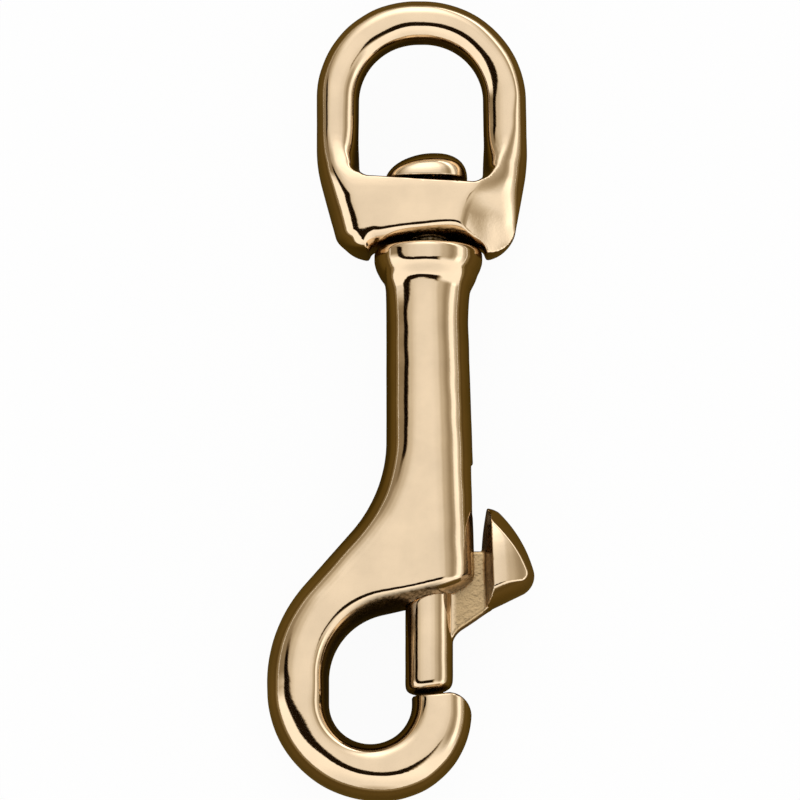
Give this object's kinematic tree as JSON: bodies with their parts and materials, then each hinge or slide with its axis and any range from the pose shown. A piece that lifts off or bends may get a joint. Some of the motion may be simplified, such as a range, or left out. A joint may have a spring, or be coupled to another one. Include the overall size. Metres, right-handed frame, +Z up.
{
  "type": "swivel bolt snap",
  "caption": "Cast bronze snap hook: a round barrel runs into a hook that a sprung sliding bolt closes, with a fin-shaped thumb lever and a D-shaped swivel eye riveted on its end.",
  "frame": {"origin": "on the surface it lies on, below the middle of the part's box", "axes": "+Z up out of its front face, +Y along the barrel towards the swivel eye, +X towards the thumb lever"},
  "size_m": [0.0394, 0.1174, 0.0156],
  "materials": {
    "bronze": "cast bronze, tumbled and polished, with soft edges and faint casting marks",
    "spring_steel": "drawn stainless spring wire"
  },
  "bodies": {
    "body": {"hook_body": "bronze", "bolt_spring": "spring_steel"},
    "eye": {"swivel_eye": "bronze"},
    "bolt": {"bolt": "bronze"}
  },
  "joints": [
    {"name": "eye_swivel", "type": "hinge", "parent": "body", "child": "eye", "pos_m": [0.0041, 0.02825, 0.0078], "axis": [0, 1, 0], "continuous": true},
    {"name": "bolt_slide", "type": "slide", "parent": "body", "child": "bolt", "axis": [0, 1, 0], "range_m": [0, 0.0125], "stiffness_N_per_m": 500, "springref_m": -0.01, "deforming": ["bolt_spring"]}
  ]
}
